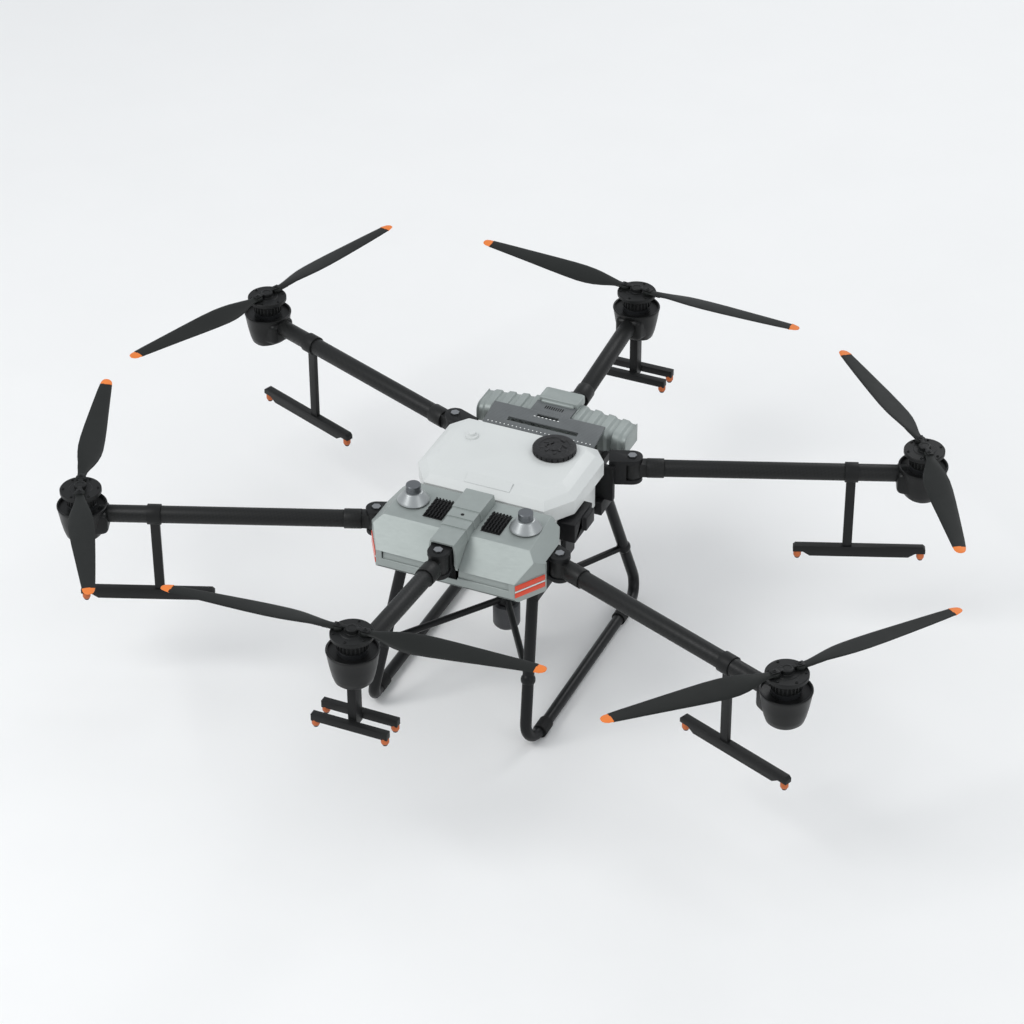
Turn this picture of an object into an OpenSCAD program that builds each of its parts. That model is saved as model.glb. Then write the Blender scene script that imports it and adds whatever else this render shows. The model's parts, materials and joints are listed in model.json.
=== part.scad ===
// Six-rotor agricultural spray drone: folding arms and blades, spray tank, pump, booms,
// slide-in battery and a tube landing gear.  Nose towards -Y, +X is the drone's left, +Z up.
// The ground is at Z = 0.  Heights inside the modules count from the side rotors' plane.

/* [Rotor layout] */
// Height of the four side rotors above the ground
side_rotor_h = 582; // [560:1:620]
// Extra height of the front rotor
front_lift = 85; // [60:1:100]
// Extra height of the rear rotor
rear_lift = 41; // [30:1:60]
// Sideways distance of a side motor from the centre line
side_x = 944; // [930:1:980]
// Fore and aft distance of a side motor from the centre
side_y = 509; // [500:1:530]
// Fore and aft distance of the front and rear motors
nose_y = 876; // [860:1:920]
// Plan angle of a side arm from the X axis
side_sweep = 21.5; // [21:0.1:22]
// Upward slope of the front arm
front_rise = 4.4; // [4:0.1:6]
// Upward slope of the rear arm
rear_rise = 6; // [5:0.1:7]

/* [Arms] */
// Outer radius of an arm tube
tube_r = 22.5; // [21:0.5:23]
// Wall of an arm tube
tube_wall = 2.5; // [1.5:0.5:4]
// Distance from a side motor to its fold pin
side_hinge_s = 745; // [740:1:750]
// Distance from the front motor to its fold pin
front_hinge_s = 471; // [466:1:474]
// Distance from the rear motor to its fold pin
rear_hinge_s = 436; // [430:1:440]
// Tube axis below the rotor plane at a motor
tube_drop = 85; // [83:1:86]
// Radius of a fold pin
fold_pin_r = 8; // [6:0.5:9]
// Radial clearance of a pin or shaft in its hole
run_gap = 0.05; // [0.02:0.01:0.09]

/* [Rotors] */
// Distance from the motor axis to a blade pivot
pivot_s = 34; // [33:0.5:36]
// Length of a blade from its pivot to its tip
blade_l = 448; // [430:1:450]
// Widest chord of a blade
blade_chord = 66; // [60:1:70]
// Upward slope of the blades
blade_cone = 1.4; // [0:0.1:2]
// Radius of the hub plate
hub_r = 53; // [50:1:56]
// Top radius of a motor pod
pod_r = 64; // [62:1:66]

/* [Spray booms] */
// Length of a side boom
boom_l = 344; // [320:1:360]
// Length of a front or rear boom
cross_boom_l = 200; // [180:1:220]
// Radius of a spray nozzle
nozzle_r = 9; // [7:0.5:10]

/* [Body] */
// Half width of the tank rim
tank_half_w = 216; // [210:1:220]
// Height of the tank's lower body below its rim
tank_depth = 250; // [220:1:260]
// Radius of the filler cap
cap_r = 57; // [50:1:60]
// Wall of the moulded shells
shell_t = 3; // [2:0.5:4]

/* [Landing gear] */
// Radius of a landing gear tube
gear_r = 15; // [13:0.5:16]
// Half distance between the two skids
skid_x = 228; // [220:1:236]
// Half length of a skid between its corners
skid_y = 366; // [350:1:380]

/* [Hidden] */
$fn = 48;
eps = 0.1;
big = 1000;

// name, motor X, motor Y, plan angle, lift, tube slope, pin distance, blade line angle,
// blade spread, spin sense
ARMS = [
    ["front", 0, -nose_y, -90, front_lift, front_rise, front_hinge_s, 184, 1, 1],
    ["rear", 0, nose_y, 90, rear_lift, rear_rise, rear_hinge_s, 175, -1, -1],
    ["front_left", side_x, -side_y, -side_sweep, 0, 0, side_hinge_s, 50, 1.5, -1],
    ["rear_left", side_x, side_y, side_sweep, 0, 0, side_hinge_s, 127, 9, 1],
    ["front_right", -side_x, -side_y, 180 + side_sweep, 0, 0, side_hinge_s, 117, -6, 1],
    ["rear_right", -side_x, side_y, 180 - side_sweep, 0, 0, side_hinge_s, 70, 1, -1],
];
ARM_PIECES = ["arm", "motor_pod", "rotor", "blade_1", "blade_2", "boom"];
BODY_NODES = [
    "center_frame", "arm_sockets", "fold_pins", "front_cover", "front_tray", "bridge_cover",
    "intake_grilles", "antenna_turrets", "light_bars", "spray_tank", "filler_cap",
    "vent_valve", "battery_pack", "battery_tab", "battery_bay", "connector_plate",
    "left_skid", "right_skid", "gear_mounts", "gear_sleeves", "cross_braces",
    "radar_sensor", "pump_unit", "flight_controller",
];

// fold joint
eye_r = 25;
eye_h = 46;
ear_t = 12;
ear_gap = 0.5;
sleeve_r = 25.5;
sleeve_s = 38;
sleeve_l = 44;
web_s = 60;
ear_z = eye_h / 2 + ear_gap;

// hub stack below the rotor plane
cap_top = 4;
plate_top = -10;
plate_t = 14;
bell_r = 38;
bell_z = -52;
rim_z = -58;
pod_bottom = -150;
pod_inner_s = 67;
shaft_r = 8;
boss_r = 13;
blade_pin_r = 4;

// side boom: top edge, deepest edge and end depth below the rotor plane
bar_top = -314;
bar_low = -344;
bar_end = -332;
bar_w = 20;
strut_s = -182;
nozzle_low = -355;

// front and rear booms
h_top = -258;
h_low = -277;
h_pitch = 28;
h_nozzle_low = -296;

// body levels
deck_z = -10;
lip_z = -74;
shelf_z = -50;
tray_z = -130;
rim_low = -50;
tank_low = -172;
rail_top = -138.1;
rail_t = 24;
bay_y = 282;

leg_top = [169.5, 205, -104];
pad_r = gear_r + 4;
foot_z = pad_r - side_rotor_h;
elbow_r = 55;
brace_z = -400;

function slope_z(a) = tan(a[5]) * a[6];
function leg_at(z) = let (k = (z - leg_top[2]) / (foot_z - leg_top[2]))
    [leg_top[0] + k * (skid_x - 12 - leg_top[0]), leg_top[1] + k * (skid_y + 8 - leg_top[1]), z];

module lifted() {
    translate([0, 0, side_rotor_h]) children();
}

module at_motor(a) {
    translate([a[1], a[2], side_rotor_h + a[4]]) rotate([0, 0, a[3]]) children();
}

module at_hinge(a) {
    at_motor(a) translate([-a[6], 0, -tube_drop - slope_z(a)]) children();
}

module along_tube(a) {
    at_hinge(a) rotate([0, -a[5], 0]) rotate([0, 90, 0]) children();
}

module rod(p, q, r) {
    d = q - p;
    translate(p)
        rotate([0, acos(d[2] / norm(d)), atan2(d[1], d[0])])
            cylinder(h = norm(d), r = r);
}

module prism_x(points, half) {
    rotate([90, 0, 90]) translate([0, 0, -half]) linear_extrude(2 * half) polygon(points);
}

module prism_y(points, y0, y1) {
    translate([0, y1, 0]) rotate([90, 0, 0]) linear_extrude(y1 - y0) polygon(points);
}

module sides() {
    children();
    mirror([1, 0, 0]) children();
}

// ---------- arms ----------

module knuckle(a) {
    difference() {
        union() {
            at_hinge(a) translate([0, 0, -eye_h / 2]) cylinder(h = eye_h, r = eye_r);
            at_hinge(a) translate([0, -16, -19]) cube([sleeve_s + 6, 32, 38]);
            along_tube(a) translate([0, 0, sleeve_s]) cylinder(h = sleeve_l, r = sleeve_r);
        }
        at_hinge(a) translate([0, 0, -big / 2])
            cylinder(h = big, r = fold_pin_r + run_gap);
        along_tube(a) translate([0, 0, sleeve_s + 14])
            cylinder(h = big, r = tube_r + run_gap);
    }
}

module arm_tube(a) {
    first = sleeve_s + 15;
    last = (a[6] - 42) / cos(a[5]);
    along_tube(a) translate([0, 0, first]) difference() {
        cylinder(h = last - first, r = tube_r);
        translate([0, 0, -eps]) cylinder(h = big * 2, r = tube_r - tube_wall);
    }
}

module arm(a) color([0.09, 0.095, 0.09]) {
    knuckle(a);
    arm_tube(a);
}

module pod_shell() {
    difference() {
        union() {
            translate([0, 0, pod_bottom])
                cylinder(h = rim_z - pod_bottom, r1 = pod_r - 16, r2 = pod_r);
            translate([-pod_inner_s, -50, pod_bottom + 18])
                cube([pod_inner_s, 100, rim_z - pod_bottom - 19.5]);
        }
        translate([0, 0, rim_z - 3]) cylinder(h = 20, r = pod_r - 5);
        translate([-pod_inner_s - 20, -pod_r - 5, pod_bottom + 20])
            rotate([0, 14, 0]) translate([0, 0, -60]) cube([200, 2 * pod_r + 10, 60]);
    }
}

module motor_pod(a) color([0.08, 0.08, 0.08]) difference() {
    union() {
        at_motor(a) pod_shell();
        at_motor(a) translate([0, 0, rim_z - 10]) cylinder(h = 14, r = bell_r - 1);
        at_motor(a) translate([0, 0, rim_z]) cylinder(h = 24, r = bell_r - 6);
    }
    at_motor(a) translate([0, 0, rim_z - 22])
        cylinder(h = 60, r = shaft_r + run_gap);
    along_tube(a) translate([0, 0, a[6] - 200])
        cylinder(h = a[6] / cos(a[5]) - a[6] + 200 - 41, r = tube_r + run_gap);
}

module rotor(a) color([0.1, 0.1, 0.1]) at_motor(a) {
    rotate_extrude() polygon([
        [0, rim_z - 20], [shaft_r, rim_z - 20], [shaft_r, plate_top - plate_t - 6],
        [bell_r - 4, plate_top - plate_t - 6], [bell_r - 4, bell_z], [bell_r, bell_z],
        [bell_r, plate_top - plate_t], [hub_r - 5, plate_top - plate_t],
        [hub_r, plate_top - plate_t + 4], [hub_r, plate_top], [16, plate_top],
        [16, cap_top - 2], [14, cap_top], [0, cap_top],
    ]);
    for (k = [0, 1])
        rotate([0, 0, a[7] - a[3] + 180 * k]) translate([pivot_s, 0, 0]) {
            translate([0, 0, plate_top - 2])
                cylinder(h = cap_top - plate_top + 2, r = blade_pin_r);
            translate([0, 0, cap_top - 1.5]) cylinder(h = 4, r = 7);
        }
}

// half outline of a blade: leading edge ahead, trailing edge behind the pivot line
module blade_outline(sense) {
    c = blade_chord;
    scale([1, sense, 1]) polygon([
        [0, -12], [26, -13], [60, -0.36 * c], [105, -0.54 * c], [150, -0.55 * c],
        [260, -0.44 * c], [400, -0.27 * c], [blade_l - 6, -0.22 * c], [blade_l, -0.1 * c],
        [blade_l - 12, 0.2 * c], [400, 0.28 * c], [260, 0.4 * c], [150, 0.45 * c],
        [105, 0.4 * c], [60, 0.26 * c], [26, 13], [0, 12],
    ]);
}

module blade(a, k) color([0.1, 0.11, 0.1]) at_motor(a)
    rotate([0, 0, a[7] - a[3] + 180 * k]) translate([pivot_s, 0, 0])
        rotate([0, 0, k == 0 ? a[8] : -a[8]]) difference() {
            union() {
                translate([0, 0, plate_top + 0.4]) cylinder(h = 11, r = boss_r);
                translate([0, 0, -6]) rotate([0, -blade_cone, 0])
                    linear_extrude(5) blade_outline(a[9]);
            }
            translate([0, 0, -20]) cylinder(h = 40, r = blade_pin_r + run_gap);
            translate([0, 0, cap_top - 2.5]) cylinder(h = 40, r = 7.6);
        }

module nozzle(s, y, top, low) {
    translate([s, y, low]) {
        cylinder(h = 6, r1 = nozzle_r - 3, r2 = nozzle_r);
        translate([0, 0, 6]) cylinder(h = top - low - 6, r = nozzle_r);
    }
}

module side_boom() {
    s0 = strut_s + 32 - boom_l / 2;
    s1 = s0 + boom_l;
    translate([0, bar_w / 2, 0]) rotate([90, 0, 0]) linear_extrude(bar_w) polygon([
        [s0, bar_end], [s0, bar_top - 6], [s0 + 6, bar_top], [s1 - 6, bar_top],
        [s1, bar_top - 6], [s1, bar_end], [s1 - 26, bar_end], [s1 - 44, bar_low],
        [s0 + 44, bar_low], [s0 + 26, bar_end],
    ]);
    translate([strut_s - 12, -6, bar_top - 4])
        cube([24, 12, -tube_drop - tube_r - 2 - bar_top + 4]);
    for (s = [s0 + 12, s1 - 12])
        nozzle(s, 0, bar_end, nozzle_low);
}

module cross_boom() {
    translate([-16, -11, h_low]) cube([32, 22, pod_bottom + 30 - h_low]);
    translate([-h_pitch, -10, h_low]) cube([2 * h_pitch, 20, h_top - h_low]);
    for (s = [-1, 1]) {
        translate([s * h_pitch - 9, -cross_boom_l / 2, h_low])
            cube([18, cross_boom_l, h_top - h_low]);
        for (y = [-1, 1])
            nozzle(s * h_pitch, y * (cross_boom_l / 2 - 9), h_low, h_nozzle_low);
    }
}

module boom(a) color([0.08, 0.08, 0.08]) {
    if (a[5] == 0)
        difference() {
            union() {
                at_motor(a) side_boom();
                at_motor(a) translate([strut_s - 17, 0, -tube_drop])
                    rotate([0, 90, 0]) cylinder(h = 34, r = tube_r + 4);
            }
            along_tube(a) translate([0, 0, 100]) cylinder(h = big, r = tube_r + run_gap);
        }
    else
        difference() {
            at_motor(a) cross_boom();
            motor_pod_block(a);
        }
}

// space that a pod takes up, cut from the strut that hangs below it
module motor_pod_block(a) {
    at_motor(a) difference() {
        translate([-80, -80, pod_bottom - 0.1]) cube([160, 160, 200]);
        translate([-pod_inner_s - 20, -100, pod_bottom + 20])
            rotate([0, 14, 0]) translate([0, 0, -60.2]) cube([200, 200, 60]);
    }
}

// ---------- centre body ----------

module arm_sockets() color([0.08, 0.08, 0.08])
    for (a = ARMS) at_hinge(a) difference() {
        union() {
            for (s = [-1, 1]) {
                translate([0, 0, s * (ear_z + ear_t / 2) - ear_t / 2])
                    cylinder(h = ear_t, r = eye_r + 2);
                translate([-web_s, -eye_r - 2, s * (ear_z + ear_t / 2) - ear_t / 2])
                    cube([web_s, 2 * eye_r + 4, ear_t]);
            }
            translate([-web_s, -eye_r - 2, -ear_z - ear_t])
                cube([web_s - 15, 2 * eye_r + 4, 2 * (ear_z + ear_t)]);
        }
        translate([0, 0, -ear_z]) cylinder(h = 2 * ear_z, r = eye_r + 0.5);
        translate([0, 0, -big / 2]) cylinder(h = big, r = fold_pin_r + run_gap);
    }

module fold_pins() color([0.5, 0.51, 0.52])
    for (a = ARMS) at_hinge(a) {
        h = 2 * (ear_z + ear_t) + 0.4;
        translate([0, 0, -h / 2]) cylinder(h = h, r = fold_pin_r);
        for (s = [-1, 1])
            translate([0, 0, s * (h / 2 + 2) - 2]) cylinder(h = 4, r = fold_pin_r + 4, $fn = 6);
    }

// bulkheads that carry the side sockets, spines to the front and rear sockets, tank rails
module center_frame() color([0.07, 0.07, 0.07]) {
    web_x = side_x - (side_hinge_s + web_s) * cos(side_sweep);
    low = rail_top - rail_t;
    difference() {
        lifted() for (y = [-190, 178])
            translate([-web_x - 26, y, low]) cube([2 * web_x + 52, 12, rail_t + 78]);
        for (a = ARMS) at_hinge(a)
            translate([-web_s - 0.1, -eye_r - 2.1, -ear_z - ear_t - 0.1])
                cube([120, 2 * eye_r + 4.2, 2 * (ear_z + ear_t) + 0.2]);
        lifted() translate([-130, 170, -60.1]) cube([260, 40, 30]);
    }
    lifted() {
        for (x = [-1, 1]) {
            translate([x * 164 - 14, -159.9, tank_low - 24.1]) cube([28, 319.8, 24]);
            translate([x * 133 - 6.5, 190.1, low]) cube([13, 180, rail_t]);
        }
        translate([-139.5, 370.6, low]) cube([279, 9.2, rail_t]);
        translate([-27, 370.6, low + rail_t]) cube([54, 9.2, 74]);
        translate([-18, -333, -124]) cube([36, 142.9, 24]);
        translate([-18, -344.8, -124]) cube([36, 11.8, 104]);
    }
}

module nose_solid(w) {
    intersection() {
        linear_extrude(big, center = true) polygon([
            [-188 + w, -372 + w], [188 - w, -372 + w], [237 - w, -292 + w], [237 - w, -210],
            [214 - w, -150 - w], [-214 + w, -150 - w], [-237 + w, -210], [-237 + w, -292 + w],
        ]);
        prism_x([
            [-372 + w, tray_z + w], [-372 + w, lip_z], [-300 + w, deck_z - 2 - w],
            [-150 - w, deck_z + 4 - w], [-150 - w, tray_z + w],
        ], big);
        prism_y([
            [-239 + w, tray_z], [-239 + w, shelf_z], [-190 + w, deck_z + 6 - w],
            [190 - w, deck_z + 6 - w], [239 - w, shelf_z], [239 - w, tray_z],
        ], -big, big);
    }
}

module front_cover() color([0.72, 0.76, 0.74]) lifted() difference() {
    nose_solid(0);
    nose_solid(shell_t);
    translate([-big / 2, -big, lip_z - 200]) cube([big, big, 200]);
    translate([-big / 2, -284, shelf_z - 196]) cube([big, 200, 200]);
    translate([-big / 2, -156, lip_z]) cube([big, 20, 58]);
    bridge_solid(0.1);
    translate([-31, -400, -110]) cube([62, 250, 100]);
    translate([-37.2, -374.6, -110]) cube([74.4, 60, 40]);
    sides() translate([52.9, -273.1, -30]) cube([52.2, 80.2, 40]);
    sides() translate([153, -222, -60]) cylinder(h = 80, r = 30);
}

module front_tray() color([0.66, 0.7, 0.68]) lifted() difference() {
    nose_solid(0);
    nose_solid(shell_t);
    translate([-big / 2, -big, lip_z - 0.4]) cube([big, big, 200]);
    sides() translate([172, -284, tray_z - 10]) cube([100, 200, 200]);
    translate([-big / 2, -190.2, tray_z - 10]) cube([big, 60, 80]);
    translate([-34, -400, -102]) cube([68, 80, 140]);
    prism_x([[-380, -70], [-363, -70], [-361, -90], [-372.1, -97], [-380, -97]], 172);
    prism_x([[-380, -116], [-373, -116], [-360, -131], [-380, -140]], big);
}

// stepped cover strip over the front arm socket, grown by w
module bridge_solid(w)
    for (k = [0:3])
        prism_y([
            [-44 + k * 2 - w, deck_z - 12 - w], [-38 + k * 2 - w, 18 - 3 * k + w],
            [38 - k * 2 + w, 18 - 3 * k + w], [44 - k * 2 + w, deck_z - 12 - w],
        ], (k == 3 ? -384 : -240 - 36 * k) - w, -156 - 0.2 * k);

module bridge_cover() color([0.74, 0.78, 0.76]) lifted() difference() {
    union() {
        bridge_solid(0);
        prism_x([[-384, -20], [-384, -50], [-374.5, -72], [-302, -12], [-302, -10]], 37);
    }
    prism_y([[-32, -76], [-32, -20], [-28.4, 4], [28.4, 4], [32, -20], [32, -76]], -400, -159);
}

module intake_grilles() color([0.06, 0.06, 0.06]) lifted() sides() {
    translate([53, -273, -20]) cube([52, 80, 12]);
    for (k = [0:4])
        translate([53 + 10.4 * k, -273, -8]) rotate([90, 0, 90]) linear_extrude(5.2)
            polygon([[0, 0], [80, 0], [80, 7], [0, 3]]);
}

module antenna_turrets() color([0.75, 0.77, 0.77]) lifted() sides() translate([153, -222, 0]) {
    translate([0, 0, -40]) cylinder(h = 34, r = 29.7);
    translate([0, 0, -6.5]) cylinder(h = 25.5, r1 = 41, r2 = 23.5);
    translate([0, 0, 19]) cylinder(h = 21, r = 19);
}

module light_bars() color([0.85, 0.25, 0.12]) lifted() sides() {
    edge = [49, 80, 0];
    turn = atan2(edge[1], edge[0]);
    for (z = [-92, -101, -118])
        translate([188, -372, z]) rotate([0, 0, turn])
            translate([2, -2.1, 0]) cube([norm(edge) - 4, 2, z == -101 ? 4 : 15]);
}

// octagonal outline of the tank, drawn in by w
module tank_plan(w) {
    x = tank_half_w - w;
    polygon([
        [-x, -62 + 0.4 * w], [-165 + 0.4 * w, -138 + w], [165 - 0.4 * w, -138 + w],
        [x, -62 + 0.4 * w], [x, 128 - 0.4 * w], [180 - 0.4 * w, 172 - w],
        [-180 + 0.4 * w, 172 - w], [-x, 128 - 0.4 * w],
    ]);
}

module tank_outer(w) {
    hull() {
        translate([0, 0, rim_low + w]) linear_extrude(deck_z - rim_low - w) tank_plan(w);
        translate([0, 0, deck_z]) linear_extrude(16 - w) tank_plan(20 + w);
        translate([0, 10, deck_z]) linear_extrude(28 - w) tank_plan(46 + w);
    }
    translate([0, 0, tank_low + w]) linear_extrude(rim_low - tank_low + w + 1) polygon([
        [-182 + w, -100 + 0.4 * w], [-156 + 0.4 * w, -128 + w], [156 - 0.4 * w, -128 + w],
        [182 - w, -100 + 0.4 * w], [182 - w, 154 - w], [-182 + w, 154 - w],
    ]);
    hull() {
        translate([0, 12, tank_low - 6])
            linear_extrude(14) square([292 - 2 * w, 250 - 2 * w], true);
        translate([0, 12, rim_low - tank_depth + w])
            linear_extrude(8) square([210 - 2 * w, 150 - 2 * w], true);
    }
}

cap_at = [98, 84];

module spray_tank() color([0.93, 0.94, 0.92]) lifted() difference() {
    union() {
        tank_outer(0);
        translate([cap_at[0], cap_at[1], 0]) cylinder(h = 24, r = cap_r - 9);
    }
    tank_outer(4);
    translate([cap_at[0], cap_at[1], -60]) cylinder(h = 120, r = cap_r - 14);
    translate([-122, 62, -10]) cylinder(h = 60, r = 6);
}

module filler_cap() color([0.05, 0.05, 0.05]) lifted() translate([cap_at[0], cap_at[1], 0])
    difference() {
        translate([0, 0, 19]) linear_extrude(15) polygon([
            for (k = [0:71]) let (r = k % 3 == 0 ? cap_r - 3 : cap_r)
                [r * cos(5 * k), r * sin(5 * k)]
        ]);
        translate([0, 0, 18]) cylinder(h = 11, r = cap_r - 8.5);
    }

module vent_valve() color([0.9, 0.91, 0.9]) lifted() translate([-122, 62, 0]) {
    translate([0, 0, -4]) cylinder(h = 23, r = 5.9);
    translate([0, 0, 18.2]) cylinder(h = 6, r = 15);
    translate([0, 0, 24]) cylinder(h = 7, r = 9);
}

module battery_pack() color([0.7, 0.74, 0.72]) lifted() {
    prism_y([
        [-212, -90], [-212, -44], [-190, -34], [-60, -20], [60, -20], [190, -34],
        [212, -44], [212, -90],
    ], bay_y, 366);
    translate([-55, bay_y + 54, -28]) cube([110, 52, 26]);
    translate([-120, bay_y + 4, -250]) cube([240, 76, 161]);
}

// latch tab on the pack, ahead of its handle
module battery_tab() color([0.3, 0.32, 0.32]) lifted()
    translate([-58, bay_y + 0.5, -19.9]) cube([112, 53, 5]);

module battery_bay() color([0.09, 0.09, 0.09]) lifted() difference() {
    translate([-126.4, bay_y - 4, -262]) cube([252.8, 92.5, 168]);
    translate([-121, bay_y + 3, -256]) cube([242, 78, 200]);
}

module connector_plate() color([0.36, 0.38, 0.38]) lifted() difference() {
    union() {
        prism_x([[202, -34], [202, -28], [281, -11], [281, -17]], 157);
        translate([-157, 202, -60]) cube([314, 6, 30]);
        sides() translate([110, 190.2, -60]) cube([47, 14, 8]);
    }
    translate([-98, 226, -60]) cube([196, 14, 60]);
    translate([-30, 262, -60]) cube([60, 10, 60]);
}

module pump_unit() color([0.12, 0.12, 0.12]) lifted() {
    translate([182.1, -96, -116]) cube([50, 112, 56]);
    translate([232, -50, -104]) cube([12, 52, 40]);
    translate([182.1, -70, -196]) cube([14, 60, 80.1]);
}

module flight_controller() color([0.2, 0.21, 0.22]) lifted() {
    translate([60, -300, -126.9]) cube([96, 90, 40]);
    translate([-156, -300, -126.9]) cube([96, 90, 40]);
}

// ---------- landing gear ----------

module skid() {
    foot = [skid_x, skid_y, foot_z];
    for (m = [0, 1]) mirror([0, m, 0]) {
        leg_low = leg_at(foot[2] + elbow_r);
        bend = [skid_x, skid_y - elbow_r, foot[2]];
        rod(leg_at(leg_top[2] - 38), leg_low, gear_r);
        translate(leg_low) sphere(r = gear_r);
        mid = foot + [-5, -12, 15];
        rod(leg_low, mid, gear_r);
        translate(mid) sphere(r = gear_r);
        rod(mid, bend, gear_r);
        translate(bend) sphere(r = gear_r);
        rod([skid_x, -0.1, foot[2]], bend, gear_r);
    }
}

module left_skid() color([0.08, 0.08, 0.08]) lifted() skid();

module right_skid() color([0.08, 0.08, 0.08]) lifted() mirror([1, 0, 0]) skid();

module gear_mounts() color([0.08, 0.08, 0.08]) lifted() sides() for (m = [0, 1])
    mirror([0, m, 0]) difference() {
        p = leg_at(leg_top[2] - 70);
        translate([p[0] - 21, 160, rail_top - rail_t - 40.1]) cube([42, 90, 40]);
        rod(leg_at(leg_top[2] - 10), leg_at(leg_top[2] - 180), gear_r + run_gap);
    }

module gear_sleeves() color([0.1, 0.1, 0.1]) lifted() sides() for (y = [-286, 236])
    translate([skid_x, y - 22, foot_z]) rotate([-90, 0, 0]) difference() {
        cylinder(h = 44, r = pad_r);
        translate([0, 0, -1]) cylinder(h = 46, r = gear_r + run_gap);
    }

module cross_braces() color([0.08, 0.08, 0.08]) lifted() difference() {
    union() {
        for (sx = [-1, 1]) for (sy = [-1, 1]) {
            p = leg_at(brace_z);
            rod([sx * p[0], sy * p[1], brace_z], [0, 0, brace_z - 14], 9);
            translate([sx * p[0], sy * p[1], brace_z]) sphere(r = gear_r + 4);
        }
        translate([0, 0, brace_z - 26]) cylinder(h = 24, r = 26);
    }
    for (sx = [-1, 1]) for (sy = [-1, 1])
        rod(
            [for (i = [0:2]) leg_at(brace_z + 60)[i] * [sx, sy, 1][i]],
            [for (i = [0:2]) leg_at(brace_z - 60)[i] * [sx, sy, 1][i]],
            gear_r + run_gap
        );
}

module radar_sensor() color([0.25, 0.25, 0.26]) lifted() {
    translate([0, 0, -492]) cylinder(h = 492 + brace_z - 26.2, r = 36);
    translate([0, 0, -500]) cylinder(h = 8, r1 = 28, r2 = 36);
}

// ---------- drawing ----------

center_frame();
arm_sockets();
fold_pins();
front_cover();
front_tray();
bridge_cover();
intake_grilles();
antenna_turrets();
light_bars();
spray_tank();
filler_cap();
vent_valve();
battery_pack();
battery_tab();
battery_bay();
connector_plate();
left_skid();
right_skid();
gear_mounts();
gear_sleeves();
cross_braces();
radar_sensor();
pump_unit();
flight_controller();
for (a = ARMS) {
    arm(a);
    motor_pod(a);
    rotor(a);
    blade(a, 0);
    blade(a, 1);
    boom(a);
}
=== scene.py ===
"""Spray drone: finishes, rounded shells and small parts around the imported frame."""

import json
import math

import bmesh
import bpy
from mathutils import Matrix, Vector


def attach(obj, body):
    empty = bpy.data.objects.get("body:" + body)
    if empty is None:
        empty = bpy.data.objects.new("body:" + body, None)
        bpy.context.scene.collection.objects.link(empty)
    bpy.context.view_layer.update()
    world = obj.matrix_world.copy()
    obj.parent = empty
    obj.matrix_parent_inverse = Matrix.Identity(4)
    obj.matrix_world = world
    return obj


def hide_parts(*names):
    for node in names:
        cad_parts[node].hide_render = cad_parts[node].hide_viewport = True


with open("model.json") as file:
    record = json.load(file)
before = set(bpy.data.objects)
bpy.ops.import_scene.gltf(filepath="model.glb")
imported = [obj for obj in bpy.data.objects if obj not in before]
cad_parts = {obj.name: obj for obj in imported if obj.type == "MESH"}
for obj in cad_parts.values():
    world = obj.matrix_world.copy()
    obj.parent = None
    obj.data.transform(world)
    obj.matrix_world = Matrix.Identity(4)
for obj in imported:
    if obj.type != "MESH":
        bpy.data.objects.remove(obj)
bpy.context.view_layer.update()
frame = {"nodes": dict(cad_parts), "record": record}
nodes = frame["nodes"]
joints = {j["name"]: j for j in frame["record"]["behaviour"]["joints"]}
body_of = {n: b for b, ns in frame["record"]["behaviour"]["bodies"].items() for n in ns}

MM = 0.001
PLANE = 0.582  # height of the side rotors
ARMS = ["front", "rear", "front_left", "rear_left", "front_right", "rear_right"]
SENSE = {
    "front": 1, "rear": -1, "front_left": -1, "rear_left": 1, "front_right": 1, "rear_right": -1,
}
FILLER = (0.098, 0.084, PLANE)  # middle of the filler cap
VENT = (-0.122, 0.062, PLANE)  # middle of the vent valve
TURRET_X, TURRET_Y = 0.153, -0.222
SKID_X, SKID_Z = 0.228, 0.019  # a skid tube's axis
GEAR_R = 15  # landing gear tube, in millimetres
BLADE_CONE = math.radians(1.4)  # upward slope of the blades
BLADE_L = 448.0  # pivot to tip, in millimetres

# ------------------------------------------------------------------ camera, stage, light

scene = bpy.context.scene
scene.view_settings.view_transform = "Standard"

camera_data = bpy.data.cameras.new("camera")
camera_data.lens = 117.92
camera_data.sensor_width = 36
camera_data.clip_end = 60
camera = bpy.data.objects.new("camera", camera_data)
scene.collection.objects.link(camera)
right = Vector((0.91378, 0.40619, -0.00385))
up = Vector((-0.22901, 0.52296, 0.82101))
back = Vector((0.3355, -0.74934, 0.5709))
turn = Matrix((right, up, back)).transposed().to_4x4()
camera.matrix_world = Matrix.Translation((2.8911, -6.4200, 5.3338)) @ turn
scene.camera = camera


def nothing_selected():
    if bpy.context.object and bpy.context.object.mode != "OBJECT":
        bpy.ops.object.mode_set(mode="OBJECT")
    bpy.ops.object.select_all(action="DESELECT")


def only(piece):
    nothing_selected()
    piece.select_set(True)
    bpy.context.view_layer.objects.active = piece
    return piece


nothing_selected()
bpy.ops.mesh.primitive_plane_add(size=60, location=(0, 0, 0))
floor = bpy.context.object
floor.name = "floor"
bpy.ops.object.transform_apply()

world = bpy.data.worlds.new("studio")
world.use_nodes = True
world.node_tree.nodes["Background"].inputs["Color"].default_value = (0.93, 0.96, 1.0, 1)
world.node_tree.nodes["Background"].inputs["Strength"].default_value = 0.69
scene.world = world


def soft_box(name, place, size, power, target=(0, 0, 0.4)):
    data = bpy.data.lights.new(name, "AREA")
    data.shape = "SQUARE"
    data.size = size
    data.energy = power
    lamp = bpy.data.objects.new(name, data)
    scene.collection.objects.link(lamp)
    lamp.location = place
    lamp.rotation_euler = (Vector(target) - Vector(place)).to_track_quat("-Z", "Y").to_euler()


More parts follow.
